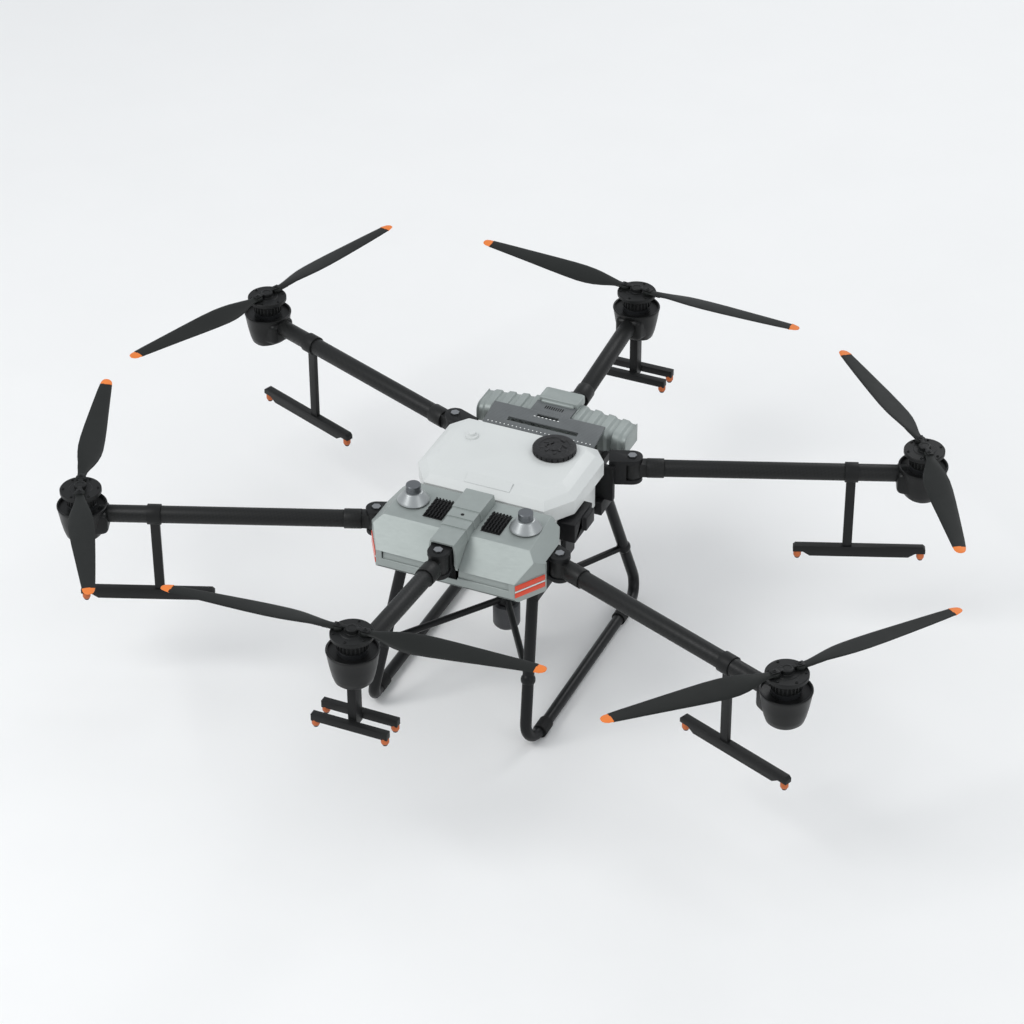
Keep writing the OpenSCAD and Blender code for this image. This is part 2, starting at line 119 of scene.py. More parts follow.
soft_box("key_light", (-3.2, -3.4, 5.6), 3.0, 170)
soft_box("fill_light", (5.5, -2.0, 3.2), 3.0, 45)
soft_box("back_light", (1.0, 5.5, 5.0), 2.6, 75)

# ------------------------------------------------------------------ finishes


class Value:
    """A shader socket that takes part in sums."""

    def __init__(self, tree, socket):
        self.tree = tree
        self.socket = socket

    def math(self, operation, a, b):
        node = self.tree.nodes.new("ShaderNodeMath")
        node.operation = operation
        for slot, part in zip(node.inputs, (a, b)):
            if isinstance(part, Value):
                self.tree.links.new(part.socket, slot)
            else:
                slot.default_value = part
        return Value(self.tree, node.outputs[0])

    def __add__(self, other):
        return self.math("ADD", self, other)

    def __radd__(self, other):
        return self.math("ADD", other, self)

    def __sub__(self, other):
        return self.math("SUBTRACT", self, other)

    def __rsub__(self, other):
        return self.math("SUBTRACT", other, self)

    def __mul__(self, other):
        return self.math("MULTIPLY", self, other)

    def __rmul__(self, other):
        return self.math("MULTIPLY", other, self)

    def __mod__(self, other):
        return self.math("PINGPONG", self, other)

    def __gt__(self, other):
        return self.math("GREATER_THAN", self, other)


class Finish:
    """One material under construction."""

    def __init__(self, name, **constants):
        self.material = bpy.data.materials.new(name)
        self.material.use_nodes = True
        self.tree = self.material.node_tree
        self.shader = self.tree.nodes["Principled BSDF"]
        for socket, value in constants.items():
            self.shader.inputs[socket.replace("_", " ")].default_value = value
        place = self.node("ShaderNodeTexCoord")
        self.place = Value(self.tree, place.outputs["Object"])
        split = self.node("ShaderNodeSeparateXYZ", {}, Vector=self.place)
        self.x, self.y, self.z = (Value(self.tree, s) for s in split.outputs)

    def node(self, kind, settings=None, **inputs):
        made = self.tree.nodes.new(kind)
        for key, value in (settings or {}).items():
            setattr(made, key, value)
        for key, value in inputs.items():
            socket = made.inputs[key.replace("_", " ")]
            if isinstance(value, Value):
                self.tree.links.new(value.socket, socket)
            else:
                socket.default_value = value
        return made

    def noise(self, scale, detail=3.0, stretch=(1, 1, 1)):
        at = self.node("ShaderNodeMapping", {}, Vector=self.place, Scale=stretch)
        made = self.node(
            "ShaderNodeTexNoise", {}, Scale=scale, Detail=detail, Vector=Value(self.tree, at.outputs[0])
        )
        return Value(self.tree, made.outputs["Fac"])

    def blend(self, factor, one, other):
        made = self.node("ShaderNodeMix", {"data_type": "RGBA"}, Factor=factor)
        for slot, part in ((made.inputs[6], one), (made.inputs[7], other)):
            if isinstance(part, Value):
                self.tree.links.new(part.socket, slot)
            else:
                slot.default_value = (*part, 1)
        return Value(self.tree, made.outputs[2])

    def feed(self, socket, value):
        self.tree.links.new(value.socket, self.shader.inputs[socket])

    def bump(self, height, strength, distance):
        made = self.node(
            "ShaderNodeBump", {}, Height=height, Strength=strength, Distance=distance
        )
        self.feed("Normal", Value(self.tree, made.outputs[0]))


def shade(color, k):
    return tuple(min(1.0, c * k) for c in color)


def moulded(name, color, rough, grain=900.0, depth=0.12, mottle=0.25, **constants):
    """Moulded or painted surface: slow tone change, uneven gloss and a fine grain."""
    f = Finish(name, **constants)
    slow = f.noise(7.0, 4.0)
    speck = f.noise(260.0, 2.0)
    tone = 1.4 * slow + 0.5 * speck - 0.45
    f.feed("Base Color", f.blend(tone, shade(color, 1 - mottle), shade(color, 1 + mottle)))
    f.feed("Roughness", rough - 0.07 + 0.14 * f.noise(35.0, 4.0))
    f.bump(f.noise(grain, 2.0), depth, 0.0004)
    return f.material


def layered(name, color, rough, metallic):
    """Satin silver paint over fine horizontal build lines."""
    f = Finish(name, Metallic=metallic)
    lines = (f.z * 1000.0) % 1.1
    haze = f.noise(9.0, 5.0)
    streak = f.noise(60.0, 3.0, (1, 1, 9))
    tone = 0.9 * haze + 0.5 * streak - 0.2
    f.feed("Base Color", f.blend(tone, shade(color, 0.86), shade(color, 1.1)))
    f.feed("Roughness", rough - 0.08 + 0.2 * streak)
    f.bump(lines * 0.5 + 0.6 * streak, 0.22, 0.0004)
    return f.material


def woven(name, color, rough, pitch):
    """Clear-coated carbon weave."""
    f = Finish(name, Coat_Weight=0.06, Coat_Roughness=0.3, Specular_IOR_Level=0.25)
    k = 1000.0 / pitch
    warp = ((f.x + f.y) * k) % 1.0
    weft = ((f.z + f.y - f.x) * k) % 1.0
    check = (warp - weft) > 0.0
    tone = check * 0.6 + 0.4 * f.noise(12.0)
    f.feed("Base Color", f.blend(tone, shade(color, 0.75), shade(color, 1.4)))
    f.feed("Roughness", rough + 0.1 * check + 0.08 * f.noise(40.0))
    f.bump(warp * weft, 0.12, 0.0003)
    return f.material


def ribbed_plate(name, color, rough):
    """Dark plate with fine slanting ribs."""
    f = Finish(name)
    ribs = ((f.x + 0.8 * f.y) * 260.0) % 0.5
    tone = 2.0 * ribs * 0.7 + 0.3 * f.noise(30.0)
    f.feed("Base Color", f.blend(tone, shade(color, 0.6), shade(color, 1.7)))
    f.feed("Roughness", rough + 0.15 * f.noise(60.0))
    f.bump(ribs, 0.5, 0.0008)
    return f.material


def cast_cap(name, color, rough):
    """Coarse grained plastic of the filler cap."""
    f = Finish(name, Specular_IOR_Level=0.3)
    lumps = f.noise(90.0, 5.0)
    f.feed("Base Color", f.blend(lumps, shade(color, 0.5), shade(color, 2.0)))
    f.feed("Roughness", rough - 0.1 + 0.25 * lumps)
    f.bump(lumps, 0.5, 0.003)
    return f.material


MATT = {"Specular_IOR_Level": 0.22}

FINISHES = {
    "frame_black": moulded("frame_black", (0.010, 0.0105, 0.011), 0.5, **MATT),
    "steel": moulded("steel", (0.30, 0.31, 0.32), 0.34, mottle=0.1, Metallic=1.0),
    "silver_shell": layered("silver_shell", (0.33, 0.365, 0.35), 0.44, 0.3),
    "vent_black": moulded("vent_black", (0.006, 0.006, 0.0065), 0.5, **MATT),
    "turret_silver": moulded("turret_silver", (0.40, 0.42, 0.42), 0.36, mottle=0.08, Metallic=0.7),
    "turret_cap": moulded("turret_cap", (0.16, 0.17, 0.18), 0.32, mottle=0.12, Metallic=0.7),
    "signal_red": moulded("signal_red", (0.72, 0.06, 0.02), 0.34, depth=0.06, mottle=0.12),
    "signal_white": moulded("signal_white", (0.78, 0.79, 0.78), 0.35, depth=0.06, mottle=0.04),
    "tank_white": moulded("tank_white", (0.66, 0.68, 0.665), 0.4, grain=420.0, depth=0.1, mottle=0.04),
    "cap_black": cast_cap("cap_black", (0.011, 0.011, 0.0115), 0.42),
    "plate_grey": ribbed_plate("plate_grey", (0.10, 0.108, 0.11), 0.4),
    "gear_black": moulded("gear_black", (0.008, 0.0085, 0.009), 0.34, **MATT),
    "pad_rubber": moulded("pad_rubber", (0.009, 0.009, 0.009), 0.62, depth=0.3, **MATT),
    "radar_grey": moulded("radar_grey", (0.045, 0.046, 0.05), 0.42),
    "pump_black": moulded("pump_black", (0.011, 0.011, 0.012), 0.48, **MATT),
    "module_grey": moulded("module_grey", (0.03, 0.032, 0.034), 0.42, Metallic=0.5),
    "carbon_tube": woven("carbon_tube", (0.009, 0.0095, 0.0093), 0.4, 6.0),
    "pod_black": moulded("pod_black", (0.008, 0.0083, 0.0083), 0.36, **MATT),
    "hub_black": moulded("hub_black", (0.010, 0.0105, 0.0105), 0.45, **MATT),
    "blade_black": moulded("blade_black", (0.0105, 0.012, 0.011), 0.5, depth=0.25, **MATT),
    "tip_orange": moulded("tip_orange", (0.80, 0.20, 0.025), 0.48, mottle=0.14),
    "boom_black": moulded("boom_black", (0.0095, 0.010, 0.010), 0.48, **MATT),
    "nozzle_rust": moulded("nozzle_rust", (0.50, 0.115, 0.022), 0.45, mottle=0.22),
}

SLOT_OF = {s["node"]: s["material_slot"] for s in frame["record"]["subparts"]}


def dress(piece, slot):
    piece.data.materials.clear()
    piece.data.materials.append(FINISHES[slot])
    for face in piece.data.polygons:
        face.material_index = 0


for name, piece in nodes.items():
    dress(piece, SLOT_OF[name])

# ------------------------------------------------------------------ modelling steps


def modify(piece, kind, **settings):
    only(piece)
    made = piece.modifiers.new(kind.lower(), kind)
    for key, value in settings.items():
        setattr(made, key, value)
    bpy.ops.object.modifier_apply(modifier=made.name)


def soften(piece, width, segments=2, angle=32, crease=34):
    modify(
        piece, "BEVEL", width=width * MM, segments=segments, limit_method="ANGLE",
        angle_limit=math.radians(angle), use_clamp_overlap=True,
    )
    smooth(piece, crease)


def smooth(piece, angle=34):
    only(piece)
    bpy.ops.object.shade_smooth_by_angle(angle=math.radians(angle))


def settle(piece):
    only(piece)
    bpy.ops.object.transform_apply(location=True, rotation=True, scale=True)


def finished(piece, name, body, slot, *stands_for):
    settle(piece)
    piece.name = name
    dress(piece, slot)
    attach(piece, body)
    if stands_for:
        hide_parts(*stands_for)
    return piece


def place(piece, spot=(0, 0, 0), turn_z=0.0):
    """Moves and turns a piece made at the origin."""
    settle(piece)
    piece.data.transform(Matrix.Translation(spot) @ Matrix.Rotation(turn_z, 4, "Z"))
    return piece


def copy_of(piece):
    only(piece)
    bpy.ops.object.duplicate()
    return bpy.context.object


def pick(piece, test):
    """Selects the faces whose middle and normal pass the test."""
    mesh = bmesh.from_edit_mesh(piece.data)
    for face in mesh.faces:
        face.select_set(False)
    for face in mesh.faces:
        if test(face.calc_center_median(), face.normal):
            face.select_set(True)
    mesh.select_flush_mode()
    bmesh.update_edit_mesh(piece.data)


def open_edit(piece):
    only(piece)
    bpy.ops.object.mode_set(mode="EDIT")
    bpy.ops.mesh.select_mode(type="FACE")


def close_edit(tidy=True):
    if tidy:
        bpy.ops.mesh.select_all(action="SELECT")
        bpy.ops.mesh.remove_doubles(threshold=0.000005)
        bpy.ops.mesh.normals_make_consistent(inside=False)
    bpy.ops.object.mode_set(mode="OBJECT")


def block(low, high):
    """A box between two corners, in millimetres."""
    nothing_selected()
    middle = [(a + b) / 2 * MM for a, b in zip(low, high)]
    bpy.ops.mesh.primitive_cube_add(size=1, location=middle)
    piece = bpy.context.object
    piece.scale = [(b - a) * MM for a, b in zip(low, high)]
    settle(piece)
    return piece


def turned(rings, spot=(0, 0, 0), sides=48):
    """A lathe shape: a disc raised and resized ring by ring, (radius, height) in millimetres."""
    nothing_selected()
    spot = Vector(spot)
    radius, height = rings[0]
    start = spot + Vector((0, 0, height * MM))
    bpy.ops.mesh.primitive_circle_add(
        vertices=sides, radius=radius * MM, fill_type="NGON", location=start,
    )
    piece = bpy.context.object
    open_edit(piece)
    bpy.ops.mesh.select_all(action="SELECT")
    for next_radius, next_height in rings[1:]:
        rise = (next_height - height) * MM
        bpy.ops.mesh.extrude_region_move(TRANSFORM_OT_translate={"value": (0, 0, rise)})
        k = next_radius / radius
        middle = spot + Vector((0, 0, next_height * MM))
        bpy.ops.transform.resize(value=(k, k, 1), center_override=middle)
        radius, height = next_radius, next_height
    close_edit()
    settle(piece)
    return piece


def flipped(piece, scale=(-1, 1, 1)):
    """Mirrors a piece and turns its faces outwards again."""
    piece.scale = scale
    settle(piece)
    open_edit(piece)
    close_edit()


def sector(spot, degrees):
    """Which sector round the Z axis a point falls in."""
    return int(math.degrees(math.atan2(spot.y, spot.x)) // degrees)


def arm_frame(arm):
    """An arm's motor place and its direction in plan."""
    spin = Vector(joints[arm + "_rotor_spin"]["pos_m"])
    hinge = Vector(joints[arm + "_arm_fold"]["pos_m"])
    return spin, math.atan2(spin.y - hinge.y, spin.x - hinge.x)


def joined(pieces):
    nothing_selected()
    for piece in pieces:
        piece.select_set(True)
    bpy.context.view_layer.objects.active = pieces[0]
    if len(pieces) > 1:
        bpy.ops.object.join()
    return bpy.context.object


def pipe(points, radius, sides=5):
    """A round tube along a path in metres."""
    curve = bpy.data.curves.new("pipe", "CURVE")
    curve.dimensions = "3D"
    curve.bevel_depth = radius * MM
    curve.bevel_resolution = sides
    curve.use_fill_caps = True
    run = curve.splines.new("POLY")
    run.points.add(len(points) - 1)
    for point, spot in zip(run.points, points):
        point.co = (*spot, 1)
    piece = bpy.data.objects.new("pipe", curve)
    scene.collection.objects.link(piece)
    only(piece)
    bpy.ops.object.convert(target="MESH")
    piece = bpy.context.object
    open_edit(piece)
    close_edit()
    return piece


def rounded_path(corners, radius, steps=10):
    """Corner points joined by straight runs and round bends."""
    path = [Vector(corners[0])]
    for a, b, c in zip(corners, corners[1:], corners[2:]):
        a, b, c = Vector(a), Vector(b), Vector(c)
        into, out = (a - b).normalized(), (c - b).normalized()
        half = into.angle(out) / 2
        reach = radius / math.tan(half)
        centre = b + (into + out).normalized() * (radius / math.sin(half))
        first, last = b + into * reach - centre, b + out * reach - centre
        for k in range(steps + 1):
            path.append(centre + first.normalized().slerp(last.normalized(), k / steps) * radius)
    path.append(Vector(corners[-1]))
    return path


def from_frame(node, width, segments=2, angle=32, crease=34):
    """A copy of a frame node with its edges rounded."""
    piece = copy_of(nodes[node])
    open_edit(piece)
    bpy.ops.mesh.select_all(action="SELECT")
    bpy.ops.mesh.remove_doubles(threshold=0.00001)
    bpy.ops.mesh.dissolve_limited(angle_limit=math.radians(1.0))
    bpy.ops.object.mode_set(mode="OBJECT")
    soften(piece, width, segments, angle, crease)
    return finished(piece, node + "_shell", body_of[node], SLOT_OF[node], node)


def bolt(spot, radius=4.0, height=3.0):
    """A hexagon-socket bolt head standing on a point."""
    return turned([
        (radius, 0), (radius, height * 0.8), (radius * 0.8, height), (radius * 0.5, height),
        (radius * 0.45, height * 0.5),
    ], spot, 12)


# ------------------------------------------------------------------ propeller blades


def section_run(stations, sides=16):
    """A blade lofted along +X: each station is (x, y, z, chord, thickness, pitch)."""
    nothing_selected()
    x, y, z, chord, thick, pitch = stations[0]
    bpy.ops.mesh.primitive_circle_add(
        vertices=sides, radius=0.5, fill_type="NGON", location=(x * MM, y * MM, z * MM),
        rotation=(0, math.pi / 2, 0),
    )
    piece = bpy.context.object
    settle(piece)
    open_edit(piece)
    bpy.ops.mesh.select_all(action="SELECT")
    spot = Vector((x, y, z)) * MM
    bpy.ops.transform.resize(value=(1, chord * MM, thick * MM), center_override=spot)
    tilt = 0.0
    for nx, ny, nz, nchord, nthick, npitch in stations[1:]:
        move = (Vector((nx, ny, nz)) - Vector((x, y, z))) * MM
        bpy.ops.mesh.extrude_region_move(TRANSFORM_OT_translate={"value": move})
        spot = Vector((nx, ny, nz)) * MM
        bpy.ops.transform.rotate(value=tilt, orient_axis="X", center_override=spot)
        bpy.ops.transform.resize(value=(1, nchord / chord, nthick / thick), center_override=spot)
        tilt = math.radians(npitch)
        bpy.ops.transform.rotate(value=-tilt, orient_axis="X", center_override=spot)
        x, y, z, chord, thick, pitch = nx, ny, nz, nchord, nthick, npitch
    close_edit()
    return piece


def rise(x):
    return -3.6 + x * math.tan(BLADE_CONE)


BLADE = [
    (9, 0, 22, 8.0, 0), (26, 0, 25, 8.5, 4), (44, -1, 34, 8.5, 10), (62, -3, 43, 8.2, 14),
    (84, -4, 54, 8.0, 14), (108, -4.5, 62, 7.6, 13), (135, -4, 66, 7.2, 12), (175, -3, 65, 6.8, 10.5),
    (225, -2.2, 60, 6.2, 9), (285, -1.2, 52, 5.4, 7.5), (345, -0.5, 44, 4.8, 6), (395, 0, 37, 4.2, 5),
    (424, 0, 32, 3.8, 4.5),
]
TIP = [
    (422, 0, 32.8, 4.6, 4.5), (434, 0, 29, 4.2, 4.5), (442, 0.5, 23, 3.6, 4.5),
    (446.5, 1, 14, 3.0, 4.5), (447.6, 1, 6, 2.0, 4.5),
]


def blade_master(sense):
    stations = [(x, y, rise(x), c, t, p) for x, y, c, t, p in BLADE]
    body = section_run(stations)
    root = turned([(12.4, -9.4), (13, -8.8), (13, 0.6), (12.2, 1.3), (7.8, 1.3), (7.8, -4)], sides=32)
    web = block((4, -9, -8.6), (40, 9, -1.4))
    soften(web, 2.5, 2)
    blade = joined([body, root, web])
    tip = section_run([(x, y, rise(x), c, t, p) for x, y, c, t, p in TIP])
    for piece in (blade, tip):
        if sense < 0:
            flipped(piece, (1, -1, 1))
        smooth(piece, 50)
    return blade, tip


masters = {1: blade_master(1), -1: blade_master(-1)}
for arm in ARMS:
    spin = Vector(joints[arm + "_rotor_spin"]["pos_m"])
    for k in (1, 2):
        node = f"{arm}_blade_{k}"
        pivot = Vector(joints[node + "_fold"]["pos_m"])
        reach = [v.co for v in nodes[node].data.vertices]
        far = max(reach, key=lambda co: (co.xy - spin.xy).length)
        aim = math.atan2(far.y - pivot.y, far.x - pivot.x)
        aim -= math.atan2(-SENSE[arm] * 6.6, BLADE_L)
        slots = ("blade_black", "tip_orange")
        for master, label, slot in zip(masters[SENSE[arm]], ("skin", "tip"), slots):
            piece = place(copy_of(master), (pivot.x, pivot.y, spin.z), aim)
            finished(piece, f"{node}_{label}", node, slot, *([node] if label == "skin" else []))
for pair in masters.values():
    for piece in pair:
        bpy.data.objects.remove(piece)

# ------------------------------------------------------------------ rotors and motor pods


def rotor_master():
    bell = turned([
        (37, -52), (38, -51), (38, -27), (37, -25), (46, -24.2), (49, -24), (53, -20), (53, -12),
        (51.5, -10), (30, -10), (28, -8.6), (17, -8.6), (16, -7.6), (16, 1.6), (14.4, 3.4),
        (10, 4), (9, 2.6), (3, 2.6),
    ], sides=72)
    open_edit(bell)
    pick(bell, lambda c, n: (
        -50 * MM < c.z < -28 * MM and abs(n.z) < 0.2 and sector(c, 5) % 3 != 0
    ))
    bpy.ops.mesh.inset(thickness=0.0006, depth=-0.0016, use_individual=True)
    close_edit(False)
    return bell


rotor_base = rotor_master()
for arm in ARMS:
    spin = Vector(joints[arm + "_rotor_spin"]["pos_m"])
    pivots = [Vector(joints[f"{arm}_blade_{k}_fold"]["pos_m"]) for k in (1, 2)]
    line = math.atan2(pivots[0].y - spin.y, pivots[0].x - spin.x)
    parts = [copy_of(rotor_base)]
    for k in range(6):
        a = math.radians(60 * k + 30)
        parts.append(bolt((0.044 * math.cos(a), 0.044 * math.sin(a), -0.0101), 3.4, 2.6))
    for side in (-1, 1):
        lug = block((side * 34 - 11, -8.5, 2.0), (side * 34 + 11, 8.5, 4.6))
        soften(lug, 1.1, 2)
        parts.append(lug)
        rings = [(5.5, 4.2), (5.5, 6.0), (4.6, 6.4), (2.6, 6.4), (2.4, 5.0)]
        parts.append(turned(rings, (side * 0.034, 0, 0), 12))
        arm_link = block((side * 20 - 9, -5.5, 1.0), (side * 20 + 9, 5.5, 3.8))
        soften(arm_link, 1.0, 2)
        parts.append(arm_link)
    rotor = joined(parts)
    smooth(rotor)
    place(rotor, spin, line)
    finished(rotor, arm + "_rotor_hub", arm + "_rotor", "hub_black", arm + "_rotor")
bpy.data.objects.remove(rotor_base)


def pod_master():
    cup = turned([
        (30, -150), (42, -149), (47, -144), (52, -128), (58, -98), (63, -66), (64.4, -61.5),
        (64.2, -58.6), (62.6, -57.6), (59.6, -58.6), (58.6, -67),
    ], sides=72)
    nose = block((-67, -49, -134), (0, 49, -65))
    open_edit(nose)
    pick(nose, lambda c, n: n.x < -0.9)
    bpy.ops.transform.resize(value=(1, 0.72, 0.86), center_override=(-0.067, 0, -0.094))
    close_edit()
    modify(nose, "BEVEL", width=0.013, segments=4, limit_method="ANGLE", angle_limit=math.radians(30))
    hollow = turned([(57.8, -67.2), (57.8, -40)], sides=48)
    modify(nose, "BOOLEAN", object=hollow, operation="DIFFERENCE", solver="EXACT")
    modify(cup, "BOOLEAN", object=nose, operation="UNION", solver="EXACT")
    for tool in (nose, hollow):
        bpy.data.objects.remove(tool)
    open_edit(cup)
    bpy.ops.mesh.select_all(action="SELECT")
    slant = math.radians(14)
    bpy.ops.mesh.bisect(
        plane_co=(-0.087, 0, -0.128), plane_no=(-math.sin(slant), 0, -math.cos(slant)),
        use_fill=True, clear_outer=True,
    )
    close_edit()
    soften(cup, 3.0, 3, 40)
    return cup


pod_base = pod_master()
for arm in ARMS:
    spin, line = arm_frame(arm)
    pod = place(copy_of(pod_base), spin, line)
    finished(pod, arm + "_pod_shell", arm + "_arm", "pod_black", arm + "_motor_pod")
    stator = turned([
        (36.6, -68.5), (36.6, -55), (35, -54), (32, -54), (32, -35), (30.6, -34), (10, -34),
    ], spin, 36)
    smooth(stator)
    finished(stator, arm + "_stator", arm + "_arm", "module_grey")
bpy.data.objects.remove(pod_base)

# ------------------------------------------------------------------ arms and booms

for arm in ARMS:
    from_frame(arm + "_arm", 1.6, 2, 40)
    from_frame(arm + "_boom", 2.2, 2)
    spin, line = arm_frame(arm)
    side = arm in ("front", "rear")
    spots = [(s, y) for s in (-28, 28) for y in (-91, 91)] if side else [(-310, 0), (10, 0)]
    top, tip = (-276, -295.4) if side else (-331, -354.4)
    for number, (s, y) in enumerate(spots, 1):
        nozzle = turned([
            (4.5, tip), (6.4, tip + 0.4), (9.6, tip + 6.5), (10.2, tip + 8), (10.2, top - 3),
            (9.4, top - 1.5), (9.4, top + 1),
        ], sides=28)
        smooth(nozzle)
        place(nozzle, (s * MM, y * MM, 0))
        place(nozzle, spin, line)
        finished(nozzle, f"{arm}_nozzle_{number}", arm + "_arm", "nozzle_rust")

# ------------------------------------------------------------------ centre body

from_frame("front_cover", 3.2, 3, 9, 11)
from_frame("front_tray", 2.2, 2, 14, 16)
# sloping panels behind the front tray's slots
for side in (-1, 1):
    name = "left" if side > 0 else "right"
    low_x, high_x = sorted((side * 36, side * 171))
    backing = block((low_x, -365, -98), (high_x, -358, -71))
    open_edit(backing)
    pick(backing, lambda c, n: n.z < -0.9)
    bpy.ops.transform.translate(value=(0, -0.004, 0))
    close_edit()
    soften(backing, 0.8, 2)
    place(backing, (0, 0, PLANE))
    finished(backing, name + "_front_backing", "airframe", "silver_shell")

from_frame("bridge_cover", 1.6, 2, 12, 16)
from_frame("arm_sockets", 2.0, 2)
from_frame("connector_plate", 1.4, 2)
from_frame("battery_bay", 3.0, 2)
from_frame("pump_unit", 5.0, 3)
from_frame("gear_mounts", 3.0, 2)

button = turned([(4.6, -1), (4.6, 0.6), (3.8, 1.1), (2, 1.1)], (0, -0.262, PLANE + 0.0152), 20)
smooth(button)
finished(button, "bridge_button", "airframe", "vent_black")

# antenna turrets: turned cones with a dark ringed cap
for side in (-1, 1):
    name = "left" if side > 0 else "right"
    spot = (side * TURRET_X, TURRET_Y, PLANE)
    cone = turned([
        (29.5, -38), (29.5, -7), (40.4, -6.4), (41, -5.4), (40.2, -3.4), (38.5, -1.2),
        (24.6, 17.4), (23.6, 18.6), (22, 19.2),
    ], spot, 64)
    smooth(cone)
    stands_for = ["antenna_turrets"] if side > 0 else []
    finished(cone, name + "_turret_cone", "airframe", "turret_silver", *stands_for)
    cap = turned([
        (18.4, 18.8), (19, 19.6), (19, 28.4), (18.3, 28.8), (18.3, 29.8), (19, 30.2),
        (19, 38.4), (17.8, 39.8), (14, 40),
    ], spot, 64)
    smooth(cap)
    finished(cap, name + "_turret_cap", "airframe", "turret_cap")

# intake grilles: zigzag fins over a dark pan
for side in (-1, 1):
    name = "left" if side > 0 else "right"
    fins = [block((53.2, -272.8, -19), (104.8, -193.2, -10))]
    for k in range(6):
        nothing_selected()
        bpy.ops.mesh.primitive_plane_add(size=1, location=(0, 0, 0), rotation=(math.pi / 2, 0, 0))
        fin = bpy.context.object
        fin.scale = (0.0042, 0.0042, 0.0085)
        fin.location = ((57 + 8.8 * k) * MM, -0.272, -0.0062)
        settle(fin)
        open_edit(fin)
        bpy.ops.mesh.select_all(action="SELECT")
        for step in range(10):
            aside = 0.0022 if step % 2 else -0.0022
            lift = 0.0004 if step < 5 else 0.0
            bpy.ops.mesh.extrude_region_move(TRANSFORM_OT_translate={"value": (aside, 0.0078, lift)})
        close_edit()
        fins.append(fin)
    grille = joined(fins)
    if side < 0:
        flipped(grille)
    soften(grille, 0.8, 1, 40)
    place(grille, (0, 0, PLANE))
    stands_for = ["intake_grilles"] if side > 0 else []
    finished(grille, name + "_intake", "airframe", "vent_black", *stands_for)

# signal bars round the front corners: label, lower and upper edge, slot
BARS = (
    ("upper", -92, -77, "signal_red"),
    ("middle", -97.6, -93.6, "signal_white"),
    ("lower", -113, -99, "signal_red"),
)
for side in (-1, 1):
    name = "left" if side > 0 else "right"
    for label, low_z, high_z, slot in BARS:
        bar = block((2, -2.1, low_z), (91.8, -0.1, high_z))
        soften(bar, 0.9, 2)
        place(bar, (0.188, -0.372, PLANE), math.atan2(80, 49))
        if side < 0:
            flipped(bar)
        stands_for = ["light_bars"] if side > 0 and label == "upper" else []
        finished(bar, f"{name}_{label}_signal", "airframe", slot, *stands_for)

# ------------------------------------------------------------------ spray tank

from_frame("spray_tank", 3.6, 3, 7, 9)
collar = turned([
    (47.6, 8), (63, 10), (63.4, 14), (62.4, 17.6), (58.6, 18.4), (57.6, 17), (50, 16.4),
], FILLER, 72)
smooth(collar)
finished(collar, "filler_collar", "airframe", "tank_white")

cap = turned([
    (49, 19), (55, 19), (56.4, 20.4), (56.4, 30.4), (55, 32.4), (50, 33.6), (40, 33.8),
    (38.6, 32.4), (20, 32.4), (19, 33.9), (8, 33.9),
], sides=96)
open_edit(cap)
pick(cap, lambda c, n: (
    abs(n.z) < 0.3 and 21 * MM < c.z < 30 * MM and c.xy.length > 0.05 and sector(c, 3.75) % 4 == 0
))
bpy.ops.mesh.inset(thickness=0.0002, depth=-0.0026, use_individual=True)
close_edit(False)
smooth(cap, 40)
lumps = []
for k in range(14):
    angle, reach = 2.4 * k, 10 + 2.1 * k
    spot = (reach * math.cos(angle), reach * math.sin(angle))
    lump = block((spot[0] - 7, spot[1] - 3.2, 31.6), (spot[0] + 7, spot[1] + 3.2, 33.4 + 0.5 * (k % 3)))
    lump.data.transform(
        Matrix.Translation((spot[0] * MM, spot[1] * MM, 0))
        @ Matrix.Rotation(1.1 * k, 4, "Z")
        @ Matrix.Translation((-spot[0] * MM, -spot[1] * MM, 0))
    )
    soften(lump, 1.0, 2)
    lumps.append(lump)
cap = joined([cap] + lumps)
place(cap, FILLER)
finished(cap, "filler_cap_grip", "filler_cap", "cap_black", "filler_cap")

valve = turned([
    (5.8, -4), (5.8, 10), (16, 14), (16.6, 16), (16.6, 21), (15.4, 23), (9.6, 23.6),
    (9.2, 24.6), (9.2, 29.6), (8.2, 30.8), (4, 31),
], VENT, 40)
smooth(valve)
finished(valve, "vent_valve_knob", "airframe", "tank_white", "vent_valve")

# raised panel on the tank's front slope
slope = math.atan2(12.0, 25.0)
panel = block((-62, -14, -2), (62, 14, 1.6))
soften(panel, 1.2, 2, 30, 20)
panel.data.transform(
    Matrix.Translation((0, -0.1045, PLANE + 0.0125)) @ Matrix.Rotation(slope, 4, "X")
)
finished(panel, "tank_front_panel", "airframe", "tank_white")

# ------------------------------------------------------------------ battery


def crown(x):
    """Height of the battery's top edge across its width."""
    x = abs(x)
    return -20.4 - (x - 60) * 0.11 if x > 60 else -20.4


# one flute: share of its pitch, and the depth there
FLUTE = ((0.05, 1.0), (0.34, 1.0), (0.42, 1.0), (0.6, 0.93), (0.88, 0.93), (0.97, 1.0))


